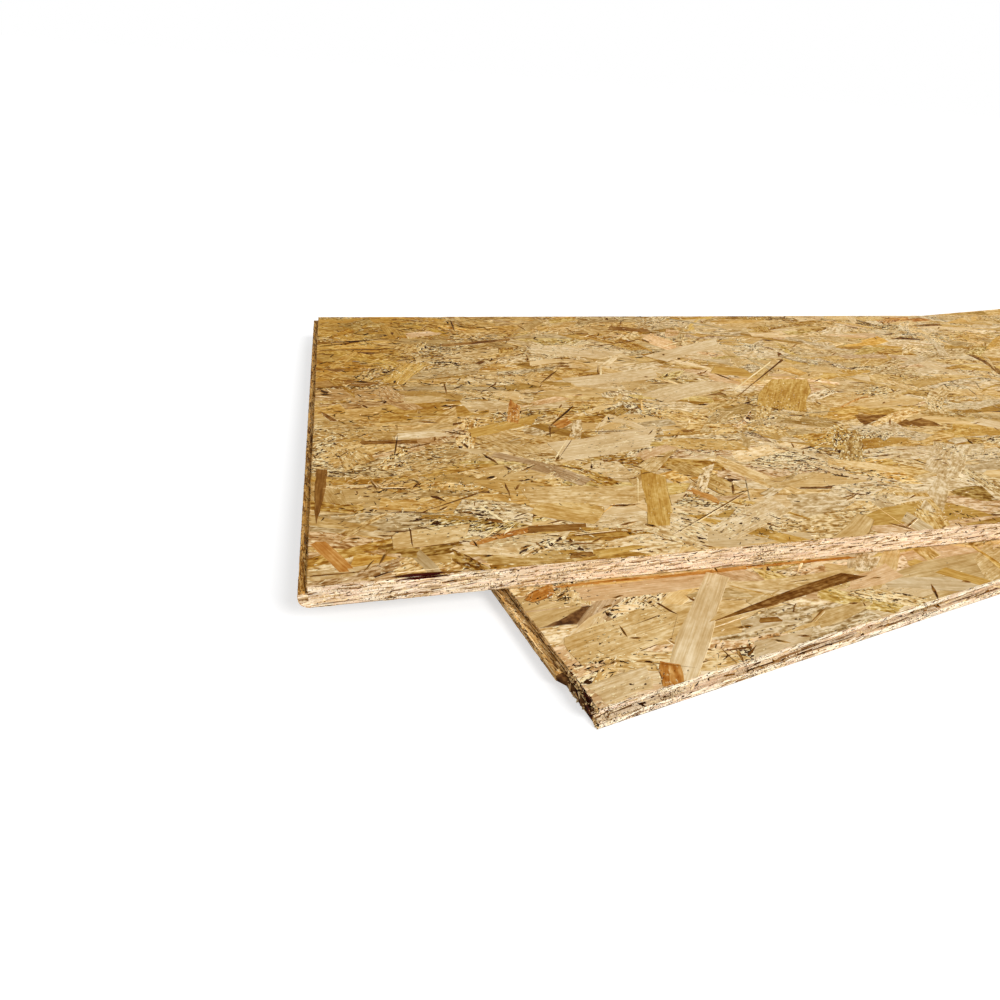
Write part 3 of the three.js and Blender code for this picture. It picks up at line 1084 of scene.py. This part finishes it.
EDGE_LINES = {  # where each edge starts, which way it runs and which way it looks
    "front": ((0, 0, 0), (1, 0, 0), (0, -1, 0)),
    "right": ((BOARD_LENGTH, 0, 0), (0, 1, 0), (1, 0, 0)),
    "back": ((BOARD_LENGTH, BOARD_WIDTH, 0), (-1, 0, 0), (0, 1, 0)),
    "left": ((0, BOARD_WIDTH, 0), (0, -1, 0), (-1, 0, 0)),
}
BESIDE_GROOVE = BOARD_WIDTH - GROOVE_DEPTH  # where the front groove opens at the left end
SQUARE_LENGTH = BOARD_LENGTH - GROOVE_DEPTH  # of the upper front, up to the right groove
BACK_STRETCHES = (
    ("back", "lower lip", (0, ""), (GROOVE_DEPTH, "")),
    ("back", "upper lip", (0, ""), (GROOVE_DEPTH, "")),
    ("back", "tongue", (GROOVE_DEPTH, ""), (BOARD_LENGTH, "mitre")),
)
STRETCHES = {  # along each edge from its start: the form milled there, and both its ends
    "lower": BACK_STRETCHES + (
        ("front", "groove", (0, "relief"), (BOARD_LENGTH, "mitre")),
        ("right", "groove", (0, "mitre"), (BOARD_WIDTH, "relief")),
        ("left", "tongue", (0, "mitre"), (BOARD_WIDTH - BREAK_LENGTH, "")),
        ("left", "stub", (BOARD_WIDTH - BREAK_LENGTH, ""), (BESIDE_GROOVE, "")),
        ("left", "lower lip", (BESIDE_GROOVE, ""), (BOARD_WIDTH, "")),
        ("left", "upper lip", (BESIDE_GROOVE, ""), (BOARD_WIDTH, "")),
    ),
    "upper": BACK_STRETCHES + (
        ("front", "square", (0, ""), (SQUARE_LENGTH, "")),
        ("front", "flush lower lip", (SQUARE_LENGTH, ""), (BOARD_LENGTH, "")),
        ("front", "upper lip", (SQUARE_LENGTH, ""), (BOARD_LENGTH, "")),
        ("right", "groove", (0, ""), (BOARD_WIDTH, "relief")),
        ("left", "tongue", (0, "mitre"), (BOARD_WIDTH - WASTE_LENGTH, "")),
        ("left", "full", (BOARD_WIDTH - WASTE_LENGTH, ""), (BOARD_WIDTH, "")),
    ),
}


def strew_edge(mat, colours, layer, lengths, holes, size):
    """Covers an edge facet with layers of slivers and pits it with small dark holes.

    layer is how thick a layer is, lengths the slivers' shortest and longest in mm, holes
    how many there are to a square mm, and size how large.
    """
    dice = mat.random
    layers = max(1, round(mat.width / layer))
    for row in range(layers):
        middle = (row + 0.5) * mat.width / layers
        u = -dice.uniform(0, 20) * MM
        while u < mat.length + 6 * MM:
            length = dice.uniform(*lengths) * MM
            mat.lay_sliver(
                u + length * 0.4,
                middle + dice.normal(0, 0.15) * layer,
                length=length * 1.7,
                width=mat.width / layers * dice.uniform(1.6, 2.4),
                turn=dice.normal(0, 0.03),
                height=dice.uniform(0.3, 0.85),
                tint=mat.pick(colours, 0.09),
                rim_tone=dice.choice((-0.25, 0.0, 0.0, 0.4)),
            )
            u += length * 0.8
    for _ in range(int(holes * mat.length * mat.width / MM ** 2)):
        kind = dice.choice(("deep", "shallow", "torn"), p=(0.4, 0.3, 0.3))
        tint = {"deep": SLIT, "torn": TORN_LIP}.get(kind, UMBER)
        mat.lay_sliver(
            dice.uniform(0, mat.length),
            dice.uniform(0, mat.width),
            length=size * dice.triangular(1.2, 2, 5) * MM,
            width=size * dice.uniform(0.9, 2.0) * MM,
            turn=dice.normal(0, 0.5),
            height=dice.uniform(0.86, 0.95),
            tint=np.array(tint[:3]) * dice.uniform(0.9, 1.2),
        )


def corner_shift(corner, out, height):
    """How far an end of a facet moves along its edge, at a corner of the board.

    At a mitre two milled edges meet. At a relief the wood under a tongue is set back.
    """
    if corner == "mitre":
        return out
    if corner == "relief" and height < MID_HEIGHT - TONGUE_ROOT / 2:
        return -SHOULDER_RELIEF
    return 0.0


Facet = namedtuple("Facet", "edge length width place inside outline")
INSIDE_DEPTH = 2 * MM  # a flat that reaches deeper than this is inside a groove


def facet_place(corner, along, across):
    """Where a facet lies in its board's frame, from its corner and the ways it runs."""
    normal = along.cross(across)
    place = Matrix((along, across, normal)).transposed().to_4x4()
    place.translation = corner - normal * SKIN
    return place


def edge_facets(board):
    """Each flat of a board's edges, one stretch after another."""
    facets = []
    for edge, form, (begin, begin_corner), (end, end_corner) in STRETCHES[board]:
        start, along, outward = (Vector(v) for v in EDGE_LINES[edge])
        points = ACROSS[form]
        for (out_a, height_a), (out_b, height_b) in zip(points, points[1:]):
            across = (out_b - out_a) * outward + Vector((0, 0, height_b - height_a))
            width = across.length
            across.normalize()
            low = min(height_a, height_b)
            outs = (out_a, out_b)
            begins = [begin - corner_shift(begin_corner, out, low) for out in outs]
            ends = [end + corner_shift(end_corner, out, low) for out in outs]
            first = min(begins)
            corner = start + first * along + out_a * outward + Vector((0, 0, height_a))
            facets.append(Facet(
                edge=edge,
                length=max(ends) - first,
                width=width,
                place=facet_place(corner, along, across),
                inside=min(out_a, out_b) < -INSIDE_DEPTH,
                outline=(
                    (begins[0] - first, 0), (ends[0] - first, 0),
                    (ends[1] - first, width), (begins[1] - first, width),
                ),
            ))
    return facets


def sawn_tongue_end():
    """The upper board's left tongue and the wood under it, sawn flush with the front."""
    tongue = reversed(ACROSS["full"][:-1])
    outline = [(TONGUE_REACH - out, height) for out, height in tongue]
    corner, along, up = Vector((-TONGUE_REACH, 0, 0)), Vector((1, 0, 0)), Vector((0, 0, 1))
    return Facet(
        edge="front",
        length=max(u for u, _ in outline),
        width=max(v for _, v in outline),
        place=facet_place(corner, along, up),
        inside=False,
        outline=outline,
    )


# painted shade: the wood inside a groove is darkened by this much, standing for the groove's
# shade
GROOVE_PAINTED_SHADE = 0.2
UPPER_END_SOIL = 0.74


def soil_and_shade(board, facet):
    """How far a facet's wood is darkened, from 0 to 1: browned at the upper board's ends,
    painted shade inside a groove.
    """
    if facet.inside:
        return GROOVE_PAINTED_SHADE
    return UPPER_END_SOIL if board == "upper" and facet.edge in ("left", "right") else 0.0


# painted shade: the torn wood's deep holes are flat near-black patches, each in a dark brown
# ring
TORN_HOLE_SHADE = srgb(34, 6, 0)
TORN_EDGE = srgb(90, 36, 14)
TORN_HOLES = (  # from where the break begins, in mm, then up the flat, length and width
    (8, 0.8, 6, 3), (14, 0.5, 7, 4), (20, 0.6, 12, 7), (25, 0.3, 10, 6), (28, 0.7, 10, 7),
    (33, 0.4, 10, 7), (36, 0.8, 6, 5), (4, 0.3, 5, 2),
)
TORN_SPLINTERS = 14  # to each flat of the break


def lay_splinter(mat, u, v, length, width, turn, rise, tint):
    """A torn splinter that leans out of a facet and ends in a point."""
    dice = mat.random
    foot = np.array([(-0.5, -0.5), (0.3, -0.4), (0.3, 0.4), (-0.5, 0.5)]) * (length, width)
    tip = foot * 0.15 + (length * dice.uniform(0.1, 0.5), 0)
    mat.strands.append({
        "height": 1.0,
        "outer": foot @ turned_by(turn) + (u, v),
        "inner": tip @ turned_by(turn) + (u, v),
        "top": np.full(4, SKIN + rise),
        "grain": np.vstack((foot, tip)),
        "seed": dice.uniform(0, 400),
        "tint": tuple(tint[:3]) + (0.0,),
    })


def lay_break(mat):
    """Torn wood where a tongue is knocked away: its holes as flat patches of painted shade,
    and splinters that lean out.
    """
    dice = mat.random
    for u, share, length, width in TORN_HOLES:
        mat.lay_gap(
            u * MM, share * mat.width, length * MM, width * MM, turn=dice.normal(0, 0.4),
            height=0.96, tint=TORN_HOLE_SHADE, settled=True, browned=TORN_EDGE,
        )
    for _ in range(TORN_SPLINTERS):
        lay_splinter(
            mat,
            dice.triangular(0, 6 * MM, mat.length),
            dice.uniform(0.1, 0.9) * mat.width,
            length=dice.uniform(3, 8) * MM,
            width=dice.uniform(0.8, 2) * MM,
            turn=dice.normal(0, 0.5),
            rise=dice.uniform(0.4, 1.6) * MM,
            tint=np.array(END_COLOURS["straw"][0][:3]) * dice.uniform(0.7, 1.1),
        )


SLIVER_LENGTHS = {"front": (4, 16), "right": (6, 22), "back": (12, 44), "left": (4, 14)}
HOLES = {"front": 0.055, "right": 0.02, "back": 0.012, "left": 0.05}  # to a square mm
NARROW_FLAT = 1.2 * MM  # the chamfers, where the cutter tears out more holes
NARROW_HOLES = 3.0
WIDE_HOLES = 0.9
ARRIS_GAP = {  # a dark gap in the upper board's front arris
    "u": 79 * MM, "v": 16.5 * MM, "length": 40 * MM, "width": 4 * MM, "turn": 0.02,
    "height": 0.97, "tint": SLIVER_COLOURS["maroon"],
}
EDGE_SEEDS = {"lower": 100, "upper": 150}
side_strands = strand_material(
    "side_strands",
    {
        "Fibre Contrast": 0.08, "Streak Contrast": 0.24, "Ring Contrast": 0.0,
        "Flecks": 0.5, "Crowding": 0.015, "Pit Color": srgb(84, 52, 20),
    },
    relief=0.5, short=5.0,
)
for board in BOARDS:
    facets = edge_facets(board)
    if board == "upper":
        facets.append(sawn_tongue_end())
    band = 1 / sum(facet.width for facet in facets)
    bottom = 0.0
    joined = bmesh.new()
    for seed, facet in enumerate(facets, EDGE_SEEDS[board]):
        # the facet's browning, and inside a groove its painted shade, darken the strands'
        # colours
        soil_and_shade_level = soil_and_shade(board, facet)
        mat = StrandMat(facet.length, facet.width, seed, lambda u, v: soil_and_shade_level, facet.outline)
        if facet.inside:
            strew_edge(
                mat, SIDE_COLOURS, layer=2.4 * MM, lengths=(18, 56), holes=0.014, size=2.4,
            )
        else:
            torn_out = NARROW_HOLES if facet.width < NARROW_FLAT else WIDE_HOLES
            strew_edge(
                mat, EDGE_COLOURS.get((board, facet.edge), END_COLOURS), layer=1.5 * MM,
                lengths=SLIVER_LENGTHS[facet.edge], holes=HOLES[facet.edge] * torn_out,
                size=1.0,
            )
        if board == "upper" and facet.edge == "front" and facet.length > BOARD_WIDTH:
            mat.lay_gap(**ARRIS_GAP, settled=True)
        if board == "lower" and facet.edge == "left" and facet.length < BREAK_LENGTH:
            lay_break(mat)
        top_of_band = bottom + facet.width * band
        atlas = (0, bottom, facet.length / (BOARD_LENGTH + TONGUE_REACH), top_of_band)
        bottom = top_of_band
        facet_mesh = mat.mesh("facet", PLACES[board] @ facet.place, atlas)
        joined.from_mesh(facet_mesh)
        bpy.data.meshes.remove(facet_mesh)
    name = board + "_edge_strands"
    mesh = bpy.data.meshes.new(name)
    joined.to_mesh(mesh)
    joined.free()
    add_piece(name, mesh, side_strands)


# ------------------------------------------------------------------ floor
# A plain white floor, far wider than the boards that lie on it. It is seen as pure white,
# and still takes their soft shadow.
FLOOR_SHADE = 0.55  # what the floor gives back of the light that falls on it
FLOOR_GLOW = 0.58  # what the camera sees on top of that, up to white


def seen_directly(tree):
    """1 for what the camera sees, itself or in a reflection, and 0 for all other light."""
    rays = node(tree, "ShaderNodeLightPath").outputs
    either = node(tree, "ShaderNodeMath", {
        0: rays["Is Camera Ray"], 1: rays["Is Glossy Ray"],
    }, operation="MAXIMUM")
    return either.outputs["Value"]


def white_floor_material():
    """White, and seen as white by the camera, with the shadow left on it."""
    material, tree, surface = new_material("white_floor")
    surface.inputs["Base Color"].default_value = (FLOOR_SHADE, FLOOR_SHADE, FLOOR_SHADE, 1)
    surface.inputs["Roughness"].default_value = 1.0
    surface.inputs["Specular IOR Level"].default_value = 0.0
    glow = node(tree, "ShaderNodeEmission", {"Color": (1, 1, 1, 1), "Strength": FLOOR_GLOW})
    dark = node(tree, "ShaderNodeEmission", {"Color": (0, 0, 0, 1), "Strength": 0.0})
    choice = node(tree, "ShaderNodeMixShader", {
        0: seen_directly(tree), 1: dark.outputs["Emission"], 2: glow.outputs["Emission"],
    })
    both = node(tree, "ShaderNodeAddShader", {
        0: surface.outputs["BSDF"], 1: choice.outputs["Shader"],
    })
    tree.links.new(both.outputs["Shader"], tree.nodes["Material Output"].inputs["Surface"])
    return material


FLOOR_HALF = 30.0  # of its width, in metres
FLOOR_DROP = 0.2 * MM  # below the boards, so that they do not share a plane
floor_mesh = bpy.data.meshes.new("floor")
floor_mesh.from_pydata(
    [(-FLOOR_HALF, -FLOOR_HALF, 0), (FLOOR_HALF, -FLOOR_HALF, 0),
     (FLOOR_HALF, FLOOR_HALF, 0), (-FLOOR_HALF, FLOOR_HALF, 0)],
    [], [(0, 1, 2, 3)],
)
floor_mesh.materials.append(white_floor_material())
floor = new_object("floor", floor_mesh)
floor.location.z = -FLOOR_DROP

# ------------------------------------------------------------------ light
# Soft white light from all round, and one wide soft lamp from above, in front and to the
# right. Together they are at the level at which a colour looks about as it is written.
WORLD_LEVEL = 0.5
KEY_STRENGTH = 2.8
KEY_ANGLE = math.radians(25)
KEY_TURN = (math.radians(55), math.radians(10), math.radians(12))

world = bpy.data.worlds.new("studio")
world.use_nodes = True
sky = world.node_tree
background = sky.nodes["Background"]
background.inputs["Color"].default_value = (1, 1, 1, 1)
level = node(sky, "ShaderNodeMapRange", {
    "Value": seen_directly(sky), "To Min": WORLD_LEVEL, "To Max": 1.0,
})
sky.links.new(level.outputs["Result"], background.inputs["Strength"])
bpy.context.scene.world = world

key_data = bpy.data.lights.new("soft_key", "SUN")
key_data.energy = KEY_STRENGTH
key_data.angle = KEY_ANGLE
key = new_object("soft_key", key_data)
key.rotation_euler = KEY_TURN
bpy.context.scene.view_settings.view_transform = "Standard"

# ------------------------------------------------------------------ camera
# It stands to the front and left of the upper board's near corner and looks down along both
# boards, a little turned about its own axis.
CAMERA_AZIMUTH = math.radians(-19)  # seen from above, in the upper board's frame
CAMERA_ELEVATION = math.radians(34.8)
CAMERA_ROLL = math.radians(5)
CORNER_RIGHT = -202 * MM  # where the camera has the upper board's near top corner
CORNER_UP = 9 * MM
CORNER_AWAY = 519 * MM
SENSOR = 36.0  # its width in mm
FOCAL_SHARE = 0.755  # of the picture's width
SHIFT_RIGHT, SHIFT_UP = -0.1, 0.1
NEAREST, FARTHEST = 10 * MM, 50  # what it sees, in metres

backward = Vector((
    math.sin(CAMERA_AZIMUTH) * math.cos(CAMERA_ELEVATION),
    -math.cos(CAMERA_AZIMUTH) * math.cos(CAMERA_ELEVATION),
    math.sin(CAMERA_ELEVATION),
))
level_right = Vector((math.cos(CAMERA_AZIMUTH), math.sin(CAMERA_AZIMUTH), 0))
level_up = backward.cross(level_right)
rightward = math.cos(CAMERA_ROLL) * level_right + math.sin(CAMERA_ROLL) * level_up
upward = math.cos(CAMERA_ROLL) * level_up - math.sin(CAMERA_ROLL) * level_right
eye = CORNER_AWAY * backward - CORNER_RIGHT * rightward - CORNER_UP * upward

camera_data = bpy.data.cameras.new("camera")
camera_data.sensor_width = SENSOR
camera_data.lens = SENSOR * FOCAL_SHARE
camera_data.shift_x = SHIFT_RIGHT
camera_data.shift_y = SHIFT_UP
camera_data.clip_start = NEAREST
camera_data.clip_end = FARTHEST
camera = new_object("camera", camera_data)
bpy.context.scene.camera = camera
near_top_corner = upper_place @ Matrix.Translation((0, 0, BOARD_THICKNESS))
facing = Matrix((rightward, upward, backward)).transposed().to_4x4()
camera.matrix_world = near_top_corner @ Matrix.Translation(eye) @ facing
